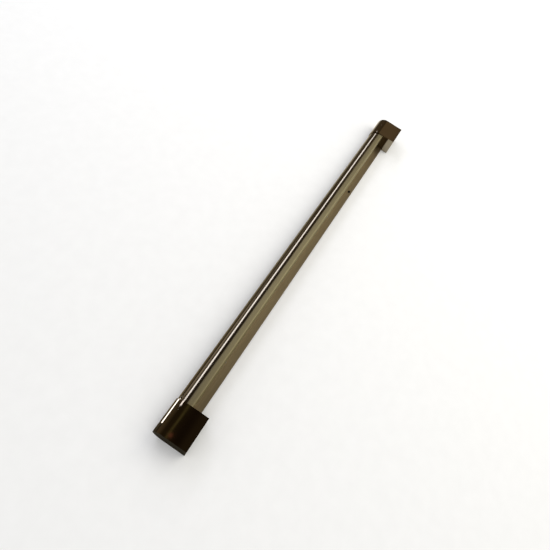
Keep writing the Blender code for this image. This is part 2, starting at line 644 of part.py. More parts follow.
# ---------------------------------------------------------------- wiring in the left block
EARTH_SCREW = (-INNER_FACE - 10 * MM, 50 * MM)
TERMINAL_LOW = (-INNER_FACE - 42 * MM, 44.5 * MM, RAIL_TOP + GAP + BRACKET_SHEET + GAP)
TERMINAL_SIZE = (24 * MM, 12 * MM, 10 * MM)
TERMINAL_WAYS = 3
TERMINAL_ENTRY_RISE = 3.4 * MM           # a wire's entry above the block's underside
LEAD_RADIUS = 1.1 * MM
LEAD_RUN = (26 * MM, 31.5 * MM)          # depth and height of the long run over the shield


def build_terminal_block(frame):
    """Ceramic block with a screw well and a wire entry for each way; returns the ways' x."""
    low = Vector(TERMINAL_LOW)
    high = low + Vector(TERMINAL_SIZE)
    block = box("terminal_block", low, high, "ceramic", frame)
    pitch = TERMINAL_SIZE[0] / TERMINAL_WAYS
    middles = [low.x + pitch * (way + 0.5) for way in range(TERMINAL_WAYS)]
    middle_depth = (low.y + high.y) / 2
    entry_height = low.z + TERMINAL_ENTRY_RISE
    wells = hole_cutter("terminal_wells", 2.1 * MM, [(x, middle_depth, high.z) for x in middles],
                        (0, 0, 1), LONG_DRILL_LENGTH, frame)
    entries = hole_cutter("terminal_entries", 1.6 * MM, [(x, low.y, entry_height) for x in middles],
                          (0, 1, 0), LONG_DRILL_LENGTH, frame)
    cut(block, wells, entries)
    screws("terminal_screw", [(0, 1.1 * MM), (0.4 * MM, 1.7 * MM), (2.6 * MM, 1.7 * MM)],
           [(x, middle_depth, high.z - 3.6 * MM) for x in middles], (0, 0, 1), "brass", frame)
    return middles


def build_earth_and_inlet(frame):
    """Earth screw on the left bracket's foot and rubber grommet in its cable hole."""
    foot_top = RAIL_TOP + GAP + BRACKET_SHEET
    turning("earth_screw", pan_screw_profile(3 * MM, 2 * MM, 1.45 * MM, 3.2 * MM),
            (*EARTH_SCREW, foot_top + GAP), (0, 0, 1), "brass", frame, 12)
    neck, flange, bore = CABLE_HOLE_RADIUS - GAP, 6.8 * MM, 3.2 * MM
    plate_inside = BRACKET_SHEET + GAP
    outside, crown = 0.1 * MM, plate_inside + 1.9 * MM
    section = [(outside, neck), (plate_inside, neck), (plate_inside, flange),
               (crown, 6.2 * MM), (crown, bore), (outside, bore)]
    bm = bmesh.new()
    add_ring(bm, section, (-BLOCK_MIDDLE, BLOCK_DEPTH, CABLE_HOLE_HEIGHT), (0, -1, 0), 20)
    make_object("inlet_grommet", mesh_from(bm, "inlet_grommet", smooth=True), "black_rubber", frame)


def build_leads(terminals, frame):
    """Sleeved leads: supply to switch, switch to lamp, and back from the lamp by the cut-out."""
    wire_front = TERMINAL_LOW[1] - GAP
    wire_height = TERMINAL_LOW[2] + TERMINAL_ENTRY_RISE
    blade_tip = -HALF_LENGTH + SWITCH_BLADE_END
    blade_low, blade_high = SWITCH_BLADE_HEIGHTS
    contact = CONTACT_END + GAP + 1.2 * MM
    tag_near = CUTOUT_STATION + CUTOUT_TAG_REACH + GAP + LEAD_RADIUS
    tag_far = CUTOUT_STATION - CUTOUT_TAG_REACH - GAP - LEAD_RADIUS
    tag_height = CUTOUT_TAG_BOTTOM + 0.4 * MM
    first, last = terminals[0], terminals[-1]
    routes = {
        "lead_supply": [
            (first, wire_front, wire_height), (first, 42.6 * MM, wire_height),
            (first + 1 * MM, 40.5 * MM, 11 * MM), (blade_tip + 4 * MM, 39 * MM, 15 * MM),
            (blade_tip + GAP, SWITCH_DEPTH, blade_low)],
        "lead_switched": [
            (blade_tip + GAP, SWITCH_DEPTH, blade_high), (blade_tip + 4 * MM, 36 * MM, 25 * MM),
            (-contact - 5 * MM, 24 * MM, 25 * MM), (-contact - 4 * MM, 18.5 * MM, 19 * MM),
            (-contact, LAMP_DEPTH, LAMP_HEIGHT)],
        "lead_return_lamp": [
            (contact, LAMP_DEPTH, LAMP_HEIGHT), (contact + 4 * MM, 18.5 * MM, 19 * MM),
            (contact + 3 * MM, 22 * MM, 28 * MM), (contact - 8 * MM, *LEAD_RUN),
            (tag_near + 25 * MM, *LEAD_RUN), (tag_near + 8 * MM, 21 * MM, 30.5 * MM),
            (tag_near, LAMP_DEPTH, tag_height)],
        "lead_return_block": [
            (tag_far, LAMP_DEPTH, tag_height), (tag_far - 8 * MM, 21 * MM, 30.5 * MM),
            (tag_far - 25 * MM, *LEAD_RUN), (-contact + 8 * MM, *LEAD_RUN),
            (-INNER_FACE - 14 * MM, 33 * MM, 29 * MM), (last, 39 * MM, 14 * MM),
            (last, 42.6 * MM, wire_height), (last, wire_front, wire_height)],
    }
    for name, points in routes.items():
        lead(name, points, LEAD_RADIUS, "lead_sleeve", frame)


# ---------------------------------------------------------------- rocker switch on the left end
SWITCH_BODY = (7.2 * MM, 4.4 * MM)       # half height and half width behind the panel
SWITCH_BEZEL = (8.6 * MM, 5.9 * MM)
SWITCH_MOUTH = (6.7 * MM, 3.5 * MM)
BEZEL_PROUD = 1.9 * MM
SWITCH_BACK = 12 * MM
SWITCH_BLADE_END = 17.5 * MM
SWITCH_PIVOT_RADIUS = 1.2 * MM
SWITCH_PIVOT_SPAN = 9.4 * MM             # across both pivot holes, which stop inside the bezel
SWITCH_BLADE_HEIGHTS = (16.5 * MM, 23.5 * MM)
LEVER_DEPTH = 7 * MM
LEVER_REST_TILT = 8                      # degrees, always opposite to the rocker


def build_switch(frame):
    """Switch body with its bezel and hollow, the two blades, the rocker and the lever."""
    rings = [(6.2 * MM, SWITCH_MOUTH[1], -10.5 * MM), (*SWITCH_MOUTH, BEZEL_PROUD),
             (*SWITCH_BEZEL, BEZEL_PROUD), (*SWITCH_BEZEL, GAP), (*SWITCH_BODY, GAP),
             (*SWITCH_BODY, -SWITCH_BACK)]
    bm = bmesh.new()
    loops = []
    for half_height, half_width, out in rings:
        corners = [(-1, -1), (-1, 1), (1, 1), (1, -1)]
        loops.append([bm.verts.new((-HALF_LENGTH - out, SWITCH_DEPTH + a * half_width,
                                    SWITCH_HEIGHT + b * half_height)) for a, b in corners])
    for near, far in zip(loops, loops[1:]):
        bridge(bm, near, far)
    bm.faces.new(loops[0])
    bm.faces.new(loops[-1])
    body = make_object("switch_body", mesh_from(bm, "switch_body"), "black_plastic", frame)
    pivot = (-HALF_LENGTH, SWITCH_DEPTH, SWITCH_HEIGHT)
    cut(body, hole_cutter("switch_pivot_holes", SWITCH_PIVOT_RADIUS, [pivot], (0, 1, 0),
                          SWITCH_PIVOT_SPAN, frame, 14))

    for place, height in zip(("lower", "upper"), SWITCH_BLADE_HEIGHTS):
        box("switch_blade_" + place,
            (-HALF_LENGTH + SWITCH_BACK + GAP, SWITCH_DEPTH - 2 * MM, height - 0.4 * MM),
            (-HALF_LENGTH + SWITCH_BLADE_END - 1.2 * MM, SWITCH_DEPTH + 2 * MM, height + 0.4 * MM),
            "brass", frame)

    build_rocker(pivot, frame)
    build_lever(frame)


def build_rocker(pivot, frame):
    """Rocker with a shallow V face and two pivot stubs, hung from an empty on its hinge."""
    hinge = add_empty("rocker_hinge", pivot, frame, ROCKER_TILT)
    half_width, base_half, base_depth = 3.1 * MM, 4.8 * MM, 2.4 * MM
    section = [(-ROCKER_RISE, -ROCKER_HALF), (-1.5 * MM, 0), (-ROCKER_RISE, ROCKER_HALF),
               (base_depth, base_half), (base_depth, -base_half)]
    bm = extruded([(x, -half_width, z) for x, z in section], (0, 2 * half_width, 0))
    rocker = make_object("switch_rocker", mesh_from(bm, "switch_rocker"), "black_plastic", hinge)
    stub = bmesh.new()
    add_turning(stub, [(-4.2 * MM, 0.9 * MM), (4.2 * MM, 0.9 * MM)], (0, 0, 0), (0, 1, 0), 12)
    axle = cutter("rocker_axle", stub, hinge)
    union = rocker.modifiers.new("axle", "BOOLEAN")
    union.operation = "UNION"
    union.solver = "EXACT"
    union.object = axle


def build_lever(frame):
    """Contact lever that see-saws inside the switch, tilted opposite to the rocker."""
    pivot = (-HALF_LENGTH + LEVER_DEPTH, SWITCH_DEPTH, SWITCH_HEIGHT)
    hinge = add_empty("lever_hinge", pivot, frame, -math.radians(LEVER_REST_TILT))
    box("switch_lever", (-0.4 * MM, -2 * MM, -4.6 * MM), (0.4 * MM, 2 * MM, 4.6 * MM), "brass", hinge)


# ---------------------------------------------------------------- whole warmer
def main():
    clear_scene()
    frame = add_empty("footprint_middle", (SWITCH_PROUD / 2, -BLOCK_DEPTH / 2, 0))

    build_bar(frame)
    build_cutout(frame)
    build_reflector(frame)
    build_lamp(frame)
    build_tube_supports(frame)
    build_guard(frame)
    for side in (LEFT, RIGHT):
        build_holder(side, frame)
        build_cover(side, frame)
        build_bracket(side, frame)
    build_holder_screws(frame)
    build_cover_screws(frame)
    terminals = build_terminal_block(frame)
    build_earth_and_inlet(frame)
    build_switch(frame)
    build_leads(terminals, frame)
    bpy.context.view_layer.update()


main()
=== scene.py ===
"""Looks of the slim infrared heat lamp warmer: finishes, fine pieces, floor, light and camera.

World axes: x along the bar, y from its rounded front to the wall side, z up.  Metres.
"""
import json
import math

import bmesh
import bpy
from mathutils import Matrix, Quaternion, Vector


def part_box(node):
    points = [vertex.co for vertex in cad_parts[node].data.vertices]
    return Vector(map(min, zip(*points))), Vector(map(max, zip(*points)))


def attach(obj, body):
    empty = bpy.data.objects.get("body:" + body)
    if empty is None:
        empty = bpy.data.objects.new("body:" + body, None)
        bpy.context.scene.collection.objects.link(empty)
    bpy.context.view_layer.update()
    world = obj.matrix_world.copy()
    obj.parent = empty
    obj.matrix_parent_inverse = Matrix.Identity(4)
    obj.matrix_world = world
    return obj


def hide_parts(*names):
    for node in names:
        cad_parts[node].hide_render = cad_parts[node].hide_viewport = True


MM = 0.001
BAR_RADIUS = 17.5 * MM           # half-round front of the bar
SATIN_FROM, SATIN_TO = -1.6 * MM, 2.4 * MM   # where the brushing fades in, from the front's end
BRUSH_LINE = 1 / (0.5 * MM)      # brushing lines across the bar, per metre
SWITCH_HEIGHT = 20 * MM          # the rocker's hinge above the floor
UP, DOWN, REARWARD = (0, 0, 1), (0, 0, -1), (0, 1, 0)

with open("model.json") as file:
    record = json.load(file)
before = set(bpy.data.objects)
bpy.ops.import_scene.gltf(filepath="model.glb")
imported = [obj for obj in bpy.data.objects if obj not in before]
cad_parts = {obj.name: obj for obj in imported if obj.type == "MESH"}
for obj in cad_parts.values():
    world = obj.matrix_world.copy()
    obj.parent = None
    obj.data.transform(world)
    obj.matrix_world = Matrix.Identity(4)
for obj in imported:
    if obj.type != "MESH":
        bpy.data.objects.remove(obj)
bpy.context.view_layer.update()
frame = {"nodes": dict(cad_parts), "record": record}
nodes = frame["nodes"]
SLOTS = {part["node"]: part["material_slot"] for part in frame["record"]["subparts"]}


# ---------------------------------------------------------------- node helpers
class Nodes:
    """A shader tree, with short calls that add and wire its nodes."""

    def __init__(self, tree, place):
        self.tree = tree
        self.place = tree.nodes.new("ShaderNodeTexCoord").outputs[place]

    def feed(self, socket, value):
        if isinstance(value, bpy.types.NodeSocket):
            self.tree.links.new(value, socket)
        else:
            socket.default_value = value

    def stretched(self, stretch):
        mapping = self.tree.nodes.new("ShaderNodeMapping")
        self.feed(mapping.inputs["Vector"], self.place)
        mapping.inputs["Scale"].default_value = stretch
        return mapping.outputs["Vector"]

    def noise(self, scale, stretch=(1, 1, 1), detail=3.0, rough=0.5):
        texture = self.tree.nodes.new("ShaderNodeTexNoise")
        self.feed(texture.inputs["Vector"], self.stretched(stretch))
        texture.inputs["Scale"].default_value = scale
        texture.inputs["Detail"].default_value = detail
        texture.inputs["Roughness"].default_value = rough
        return texture.outputs["Fac"]

    def cells(self, scale):
        texture = self.tree.nodes.new("ShaderNodeTexVoronoi")
        self.feed(texture.inputs["Vector"], self.place)
        texture.inputs["Scale"].default_value = scale
        return texture.outputs["Color"]

    def diagonal_waves(self, scale, stretch):
        texture = self.tree.nodes.new("ShaderNodeTexWave")
        texture.bands_direction = "DIAGONAL"
        self.feed(texture.inputs["Vector"], self.stretched(stretch))
        texture.inputs["Scale"].default_value = scale
        return texture.outputs["Fac"]

    def axis(self, letter):
        split = self.tree.nodes.new("ShaderNodeSeparateXYZ")
        self.feed(split.inputs[0], self.place)
        return split.outputs[letter]

    def toward(self, direction):
        """How far the place points along a direction."""
        node = self.tree.nodes.new("ShaderNodeVectorMath")
        node.operation = "DOT_PRODUCT"
        self.feed(node.inputs[0], self.place)
        node.inputs[1].default_value = Vector(direction).normalized()
        return node.outputs["Value"]

    def math(self, operation, first, second=0.0):
        node = self.tree.nodes.new("ShaderNodeMath")
        node.operation = operation
        for socket, value in zip(node.inputs, (first, second)):
            self.feed(socket, value)
        return node.outputs[0]

    def spread(self, value, low, high, new_low=0.0, new_high=1.0):
        node = self.tree.nodes.new("ShaderNodeMapRange")
        for socket, amount in zip(node.inputs, (value, low, high, new_low, new_high)):
            self.feed(socket, amount)
        return node.outputs[0]

    def ramp(self, factor, stops):
        node = self.tree.nodes.new("ShaderNodeValToRGB")
        self.feed(node.inputs[0], factor)
        while len(node.color_ramp.elements) < len(stops):
            node.color_ramp.elements.new(0.5)
        for element, (position, colour) in zip(node.color_ramp.elements, stops):
            element.position = position
            element.color = (*colour, 1)
        return node.outputs["Color"]

    def mix(self, factor, first, second, blend="MIX"):
        node = self.tree.nodes.new("ShaderNodeMix")
        node.data_type = "RGBA"
        node.blend_type = blend
        self.feed(node.inputs[0], factor)
        for socket, value in zip(node.inputs[6:8], (first, second)):
            self.feed(socket, (*value, 1) if isinstance(value, tuple) else value)
        return node.outputs[2]

    def glossy_ray(self):
        """1 where a polished or satin surface is looking, 0 for the eye and for matt surfaces."""
        return self.tree.nodes.new("ShaderNodeLightPath").outputs["Is Glossy Ray"]


class Finish(Nodes):
    """A Principled material."""

    def __init__(self, name, metallic=0.0):
        self.material = bpy.data.materials.new(name)
        self.material.use_nodes = True
        super().__init__(self.material.node_tree, "Object")
        self.shader = self.tree.nodes["Principled BSDF"]
        self.set("Metallic", metallic)

    def set(self, socket, value):
        self.feed(self.shader.inputs[socket], value)

    def bump(self, height, distance, strength):
        node = self.tree.nodes.new("ShaderNodeBump")
        node.inputs["Strength"].default_value = strength
        node.inputs["Distance"].default_value = distance
        self.feed(node.inputs["Height"], height)
        self.set("Normal", node.outputs["Normal"])


# ---------------------------------------------------------------- finishes
def block_chrome():
    """Mirror-polished smoked chrome with faint wiping marks."""
    finish = Finish("block_chrome", metallic=1.0)
    smears = finish.noise(22, detail=5, rough=0.6)
    finish.set("Roughness", finish.spread(smears, 0.3, 0.75, 0.02, 0.055))
    finish.set("Base Color", finish.ramp(smears, [(0.25, (0.40, 0.34, 0.26)),
                                                  (0.8, (0.44, 0.38, 0.30))]))
    finish.bump(finish.noise(60, detail=2), 0.02 * MM, 0.3)
    return finish.material


def bar_steel():
    """Stainless sheet: polished round the front, brushed lengthwise on top, back and bend."""
    finish = Finish("bar_steel", metallic=1.0)
    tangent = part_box("housing_shell")[0].y + BAR_RADIUS      # where the round front meets the top
    satin = finish.spread(finish.axis("Y"), tangent + SATIN_FROM, tangent + SATIN_TO)
    lines = finish.noise(BRUSH_LINE, (0.006, 1, 1), detail=4, rough=0.65)
    patches = finish.noise(9)
    brushed = finish.spread(lines, 0.25, 0.75, 0.50, 0.64)
    polished = finish.spread(patches, 0.3, 0.7, 0.10, 0.16)
    shiny = finish.math("SUBTRACT", 1.0, satin)
    finish.set("Roughness", finish.math("ADD", finish.math("MULTIPLY", satin, brushed),
                                        finish.math("MULTIPLY", shiny, polished)))
    top = finish.ramp(lines, [(0.3, (0.45, 0.40, 0.245)), (0.7, (0.60, 0.54, 0.345))])
    nose = finish.ramp(patches, [(0.3, (0.42, 0.37, 0.29)), (0.7, (0.47, 0.42, 0.33))])
    finish.set("Base Color", finish.mix(satin, nose, top))
    finish.bump(finish.math("MULTIPLY", lines, satin), 0.02 * MM, 0.5)
    return finish.material


def rail_steel():
    """Browner satin strip with coarser brushing lines and painted light, paler toward its far end.
    """
    finish = Finish("rail_steel", metallic=1.0)
    lines = finish.noise(BRUSH_LINE * 0.7, (0.005, 1, 1), detail=4, rough=0.6)
    tarnish = finish.noise(14, (1, 3, 3), detail=4, rough=0.6)
    finish.set("Roughness", finish.spread(lines, 0.25, 0.75, 0.38, 0.55))
    base = finish.ramp(lines, [(0.3, (0.42, 0.345, 0.23)), (0.7, (0.55, 0.455, 0.305))])
    worn = finish.mix(finish.spread(tarnish, 0.45, 0.8, 0, 0.4), base, (0.385, 0.295, 0.19))
    # Painted light: the rail is full bright at its far end, where the far block shades it, and a
    # fifth darker from the middle to the near end.
    along = finish.spread(finish.axis("X"), -0.4, 0.4)
    lengthwise_painted_light = finish.ramp(along, [(0.0, (1.0, 1.0, 1.0)), (0.5, (0.78, 0.78, 0.78)),
                                     (1.0, (0.80, 0.80, 0.80))])
    finish.set("Base Color", finish.mix(1.0, worn, lengthwise_painted_light, "MULTIPLY"))
    finish.bump(lines, 0.02 * MM, 0.5)
    return finish.material


def zinc_steel():
    """Galvanised sheet with crystal spangle."""
    finish = Finish("zinc_steel", metallic=1.0)
    spangle = finish.cells(240)
    finish.set("Base Color", finish.ramp(spangle, [(0.1, (0.50, 0.51, 0.50)),
                                                   (0.9, (0.70, 0.70, 0.68))]))
    finish.set("Roughness", finish.spread(spangle, 0, 1, 0.28, 0.45))
    finish.bump(finish.noise(900, detail=2), 0.02 * MM, 0.3)
    return finish.material


def reflector_aluminium():
    """Bright rolled aluminium with faint lengthwise rolling lines and heat bloom."""
    finish = Finish("reflector_aluminium", metallic=1.0)
    lines = finish.noise(BRUSH_LINE, (0.008, 1, 1))
    bloom = finish.noise(18, (1, 2, 2), detail=4)
    finish.set("Roughness", finish.spread(lines, 0.3, 0.7, 0.08, 0.18))
    finish.set("Base Color", finish.ramp(bloom, [(0.3, (0.91, 0.91, 0.90)),
                                                 (0.75, (0.86, 0.84, 0.78))]))
    finish.bump(lines, 0.01 * MM, 0.4)
    return finish.material


def quartz():
    """Clear fused quartz with a faint drawn haze."""
    finish = Finish("quartz")
    finish.set("Base Color", (0.97, 0.98, 0.97, 1))
    finish.set("Transmission Weight", 1.0)
    finish.set("IOR", 1.46)
    haze = finish.noise(300, (0.02, 1, 1), detail=2)
    finish.set("Roughness", finish.spread(haze, 0.3, 0.8, 0.0, 0.05))
    return finish.material


def heating_wire():
    """Resistance wire with a dark, slightly uneven oxide skin."""
    finish = Finish("heating_wire", metallic=1.0)
    skin = finish.noise(600, detail=4)
    finish.set("Base Color", finish.ramp(skin, [(0.35, (0.16, 0.15, 0.15)),
                                                (0.7, (0.40, 0.35, 0.28))]))
    finish.set("Roughness", finish.spread(skin, 0.3, 0.7, 0.35, 0.6))
    return finish.material


def ceramic():
    """Matt steatite with fine dark specks."""
    finish = Finish("ceramic")
    specks = finish.noise(1500, detail=2)
    clouds = finish.noise(60)
    body = finish.ramp(clouds, [(0.3, (0.84, 0.81, 0.74)), (0.7, (0.89, 0.87, 0.82))])
    speckled = finish.spread(specks, 0.68, 0.74, 0, 0.5)
    finish.set("Base Color", finish.mix(speckled, body, (0.45, 0.40, 0.33)))
    finish.set("Roughness", finish.spread(clouds, 0.3, 0.7, 0.42, 0.6))
    finish.bump(specks, 0.03 * MM, 0.4)
    return finish.material


def brass():
    """Plain brass, duller where it has tarnished."""
    finish = Finish("brass", metallic=1.0)
    tarnish = finish.noise(220, detail=4, rough=0.6)
    finish.set("Base Color", finish.ramp(tarnish, [(0.3, (0.55, 0.40, 0.17)),
                                                   (0.65, (0.78, 0.61, 0.29))]))
    finish.set("Roughness", finish.spread(tarnish, 0.3, 0.7, 0.42, 0.24))
    return finish.material


def black_plastic():
    """Spark-textured black moulding."""
    finish = Finish("black_plastic")
    grain = finish.noise(3500, rough=0.6)
    finish.set("Base Color", finish.ramp(grain, [(0.3, (0.014, 0.014, 0.015)),
                                                 (0.7, (0.030, 0.030, 0.032))]))
    finish.set("Roughness", finish.spread(grain, 0.3, 0.7, 0.34, 0.52))
    finish.bump(grain, 0.04 * MM, 0.6)
    return finish.material


def black_rubber():
    """Matt, finely grained rubber."""
    finish = Finish("black_rubber")
    grain = finish.noise(900, detail=4)
    finish.set("Base Color", finish.ramp(grain, [(0.3, (0.016, 0.016, 0.017)),
                                                 (0.75, (0.045, 0.044, 0.042))]))
    finish.set("Roughness", finish.spread(grain, 0.3, 0.7, 0.62, 0.82))
    finish.bump(grain, 0.05 * MM, 0.5)
    return finish.material


def lead_sleeve():
    """Woven glass-fibre sleeve: two crossing sets of ribs."""
    finish = Finish("lead_sleeve")
    right = finish.diagonal_waves(700, (1, 1, 0.8))
    left = finish.diagonal_waves(700, (1, -1, 0.8))
    weave = finish.math("MAXIMUM", right, left)
    finish.set("Base Color", finish.ramp(weave, [(0.2, (0.50, 0.46, 0.38)),
                                                 (0.8, (0.80, 0.77, 0.70))]))
    finish.set("Roughness", finish.spread(weave, 0, 1, 0.75, 0.55))
    finish.bump(weave, 0.08 * MM, 0.7)
    return finish.material


def bright_wire():
    """Nickel-plated strip and pins with faint drawing marks."""
    finish = Finish("bright_wire", metallic=1.0)
    marks = finish.noise(120, (0.2, 1, 1), detail=4)
    finish.set("Base Color", finish.ramp(marks, [(0.3, (0.62, 0.61, 0.58)),
                                                 (0.7, (0.74, 0.73, 0.70))]))
    finish.set("Roughness", finish.spread(marks, 0.3, 0.7, 0.16, 0.32))
    return finish.material


def dark_screw():
    """Black-oxide screw with a little steel showing through."""
    finish = Finish("dark_screw", metallic=1.0)
    wear = finish.noise(700, detail=5, rough=0.6)
    finish.set("Base Color", finish.ramp(wear, [(0.5, (0.035, 0.028, 0.022)),
                                                (0.8, (0.16, 0.14, 0.12))]))
    finish.set("Roughness", finish.spread(wear, 0.3, 0.7, 0.45, 0.28))
    return finish.material


def mark_white():
    """Pad-printed white ink, a little uneven."""
    finish = Finish("mark_white")
    ink = finish.noise(2500)
    finish.set("Base Color", finish.ramp(ink, [(0.3, (0.70, 0.70, 0.68)),
                                               (0.7, (0.84, 0.84, 0.82))]))
    finish.set("Roughness", finish.spread(ink, 0.3, 0.7, 0.42, 0.58))
    return finish.material


FINISHES = [
    block_chrome, bar_steel, rail_steel, zinc_steel, reflector_aluminium, quartz, heating_wire,
    ceramic, brass, black_plastic, black_rubber, lead_sleeve, bright_wire, dark_screw, mark_white,
]


# ---------------------------------------------------------------- CAD nodes
BEVELS = {                       # edge rounding of each slot, in millimetres
    "block_chrome": 0.7, "bar_steel": 0.3, "rail_steel": 0.3, "zinc_steel": 0.2, "ceramic": 0.5,
    "brass": 0.15, "black_plastic": 0.25, "reflector_aluminium": 0.15, "bright_wire": 0.2,
}
SAME_PLACE = 0.002 * MM          # corners this close are one corner
SAME_PLANE = math.radians(0.4)   # faces within this angle are one flat face
EDGE_ANGLE = math.radians(35)    # edges sharper than this are rounded
CREASE_ANGLE = math.radians(33)  # shading breaks at edges sharper than this
FLAT_FACE_WEIGHT = 80            # how strongly large faces pull the shading flat


def clean_shading(mesh):
    """Smooth flags, and none of the importer's own normals."""
    for name in ("custom_normal", "sharp_edge", "sharp_face"):
        if name in mesh.attributes:
            mesh.attributes.remove(mesh.attributes[name])
    mesh.polygons.foreach_set("use_smooth", [True] * len(mesh.polygons))


def round_edges(obj, width):
    """Joins the imported triangles, rounds the sharp edges and keeps flat faces flat."""
    weld = obj.modifiers.new("join", "WELD")
    weld.merge_threshold = SAME_PLACE
    flat = obj.modifiers.new("flat_faces", "DECIMATE")
    flat.decimate_type = "DISSOLVE"
    flat.angle_limit = SAME_PLANE
    if width:
        bevel = obj.modifiers.new("edges", "BEVEL")
        bevel.width = width
        bevel.segments = 3
        bevel.limit_method = "ANGLE"
        bevel.angle_limit = EDGE_ANGLE
        bevel.harden_normals = False
    split = obj.modifiers.new("creases", "EDGE_SPLIT")
    split.split_angle = CREASE_ANGLE
    weighted = obj.modifiers.new("shading", "WEIGHTED_NORMAL")
    weighted.weight = FLAT_FACE_WEIGHT
    weighted.keep_sharp = True


def dress_nodes(materials):
    """The finish and the rounded edges of every CAD node."""
    for name, slot in SLOTS.items():
        obj = nodes[name]
        obj.data.materials.clear()
        obj.data.materials.append(materials[slot])
        clean_shading(obj.data)
        round_edges(obj, BEVELS.get(slot, 0) * MM)


# ---------------------------------------------------------------- new pieces
def link(obj, material, body):
    """Adds a new piece to the scene, on its body and in its slot."""
    bpy.context.scene.collection.objects.link(obj)
    obj.data.materials.append(material)
    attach(obj, body)


COIL_WIRE = 0.22 * MM            # radius
COIL_PITCH = 1.5 * MM
COIL_TAIL = 14 * MM              # straight wire at each end
COIL_STEPS = 12                  # points in one turn


def wound_coil(materials):
    """The lamp's filament: close turns of resistance wire, straight at both ends."""
    low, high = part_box("heating_coil")
    centre = (low + high) / 2
    turn_radius = (high.z - low.z) / 2 - COIL_WIRE
    wound = (high.x - low.x) - 2 * COIL_TAIL
    steps = int(wound / COIL_PITCH) * COIL_STEPS
    points = [(low.x, centre.y, centre.z)]
    for i in range(steps + 1):
        angle = 2 * math.pi * i / COIL_STEPS
        points.append((low.x + COIL_TAIL + wound * i / steps,
                       centre.y + turn_radius * math.sin(angle),
                       centre.z + turn_radius * math.cos(angle)))
    points.append((high.x, centre.y, centre.z))
    curve = bpy.data.curves.new("wound_coil", "CURVE")
    curve.dimensions = "3D"
    curve.bevel_depth = COIL_WIRE
    curve.bevel_resolution = 1
    curve.use_fill_caps = True
    spline = curve.splines.new("POLY")
    spline.points.add(len(points) - 1)
    for spot, point in zip(spline.points, points):
        spot.co = (*point, 1)
    coil = bpy.data.objects.new("wound_coil", curve)
    link(coil, materials["heating_wire"], "fixture")
    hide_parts("heating_coil")


SCREW_SIDES = 28


def turned(profile):
    """Closed bmesh of a turned shape round +z from (height, radius) pairs."""
    bm = bmesh.new()
    angles = [2 * math.pi * i / SCREW_SIDES for i in range(SCREW_SIDES)]
    rings = [[bm.verts.new((radius * math.cos(a), radius * math.sin(a), height)) for a in angles]
             for height, radius in profile]
    for lower, upper in zip(rings, rings[1:]):
        for i in range(SCREW_SIDES):
            j = (i + 1) % SCREW_SIDES
            bm.faces.new((lower[i], lower[j], upper[j], upper[i]))
    bm.faces.new(rings[0][::-1])
    bm.faces.new(rings[-1])
    return bm


def push(bm, outline, low, high):
    """A flat outline of (x, y) points made into a solid between two heights."""
    face = bm.faces.new([bm.verts.new((x, y, low)) for x, y in outline])
    grown = bmesh.ops.extrude_face_region(bm, geom=[face])
    verts = [item for item in grown["geom"] if isinstance(item, bmesh.types.BMVert)]
    bmesh.ops.translate(bm, verts=verts, vec=(0, 0, high - low))
    bmesh.ops.recalc_face_normals(bm, faces=bm.faces)


def mesh_object(name, bm):
    mesh = bpy.data.meshes.new(name)
    bm.to_mesh(mesh)
    bm.free()
    return bpy.data.objects.new(name, mesh)


def carve(obj, cutter):
    """Cuts the cutter out of the object's own mesh, then removes the cutter."""
    for item in (obj, cutter):
        bpy.context.scene.collection.objects.link(item)
    modifier = obj.modifiers.new("recess", "BOOLEAN")
    modifier.operation = "DIFFERENCE"
    modifier.solver = "EXACT"
    modifier.object = cutter
    graph = bpy.context.evaluated_depsgraph_get()
    carved = bpy.data.meshes.new_from_object(obj.evaluated_get(graph))
    obj.modifiers.clear()
    obj.data = carved
    bpy.data.objects.remove(cutter, do_unlink=True)
    bpy.context.scene.collection.objects.unlink(obj)


def thread(root, crest, start, end, pitch):
    """Ridges of a screw thread as (height, radius) pairs."""
    pairs = []
    for i in range(int((end - start) / pitch)):
        pairs += [(start + i * pitch, root), (start + (i + 0.5) * pitch, crest)]
    return pairs


TIP = 0.55                       # radii as shares of the thread's
ROOT = 0.86
PITCH = 0.45 * MM


def threaded_shank(shank, length, top):
    """A screw's point and thread, from its tip up to the given height."""
    tip = [(-length, shank * TIP), (-length + shank * 0.5, shank * ROOT)]
    return tip + thread(shank * ROOT, shank, -length + shank * 0.6, top, PITCH)


def pan_profile(radius, height, shank, length):
    """A domed head that stands on height 0, with its shank below."""
    head = [(0, shank * ROOT), (0, radius), (0.42 * height, radius), (0.62 * height, radius * 0.95),
            (0.80 * height, radius * 0.82), (0.93 * height, radius * 0.58), (height, radius * 0.24)]
    return threaded_shank(shank, length, -0.3 * MM) + head


def countersunk_profile(radius, shank, length):
    """A conical head with its face at height 0, and its shank below."""
    head = [(-1.35 * MM, shank * 0.9), (-0.15 * MM, radius), (0, radius * 0.98)]
    return threaded_shank(shank, length, -1.9 * MM) + head


def cross_for(radius):
    """Outline of a cross recess that suits a head."""
    a, w = radius * 0.56, radius * 0.13
    return [(a, w), (w, w), (w, a), (-w, a), (-w, w), (-a, w), (-a, -w), (-w, -w), (-w, -a),
            (w, -a), (w, -w), (a, -w)]


def slot_for(radius):
    """Outline of a screwdriver slot right across a head."""
    reach, half_width = radius * 1.1, radius * 0.14
    return [(-reach, -half_width), (reach, -half_width), (reach, half_width), (-reach, half_width)]


def terminal_profile(radius, height):
    """A headless terminal screw with a thread right up its side."""
    return ([(0, 1.1 * MM)] + thread(radius - 0.2 * MM, radius, 0.3 * MM, 2.0 * MM, 0.4 * MM)
            + [(2.1 * MM, radius), (2.45 * MM, radius), (height, radius - 0.2 * MM)])


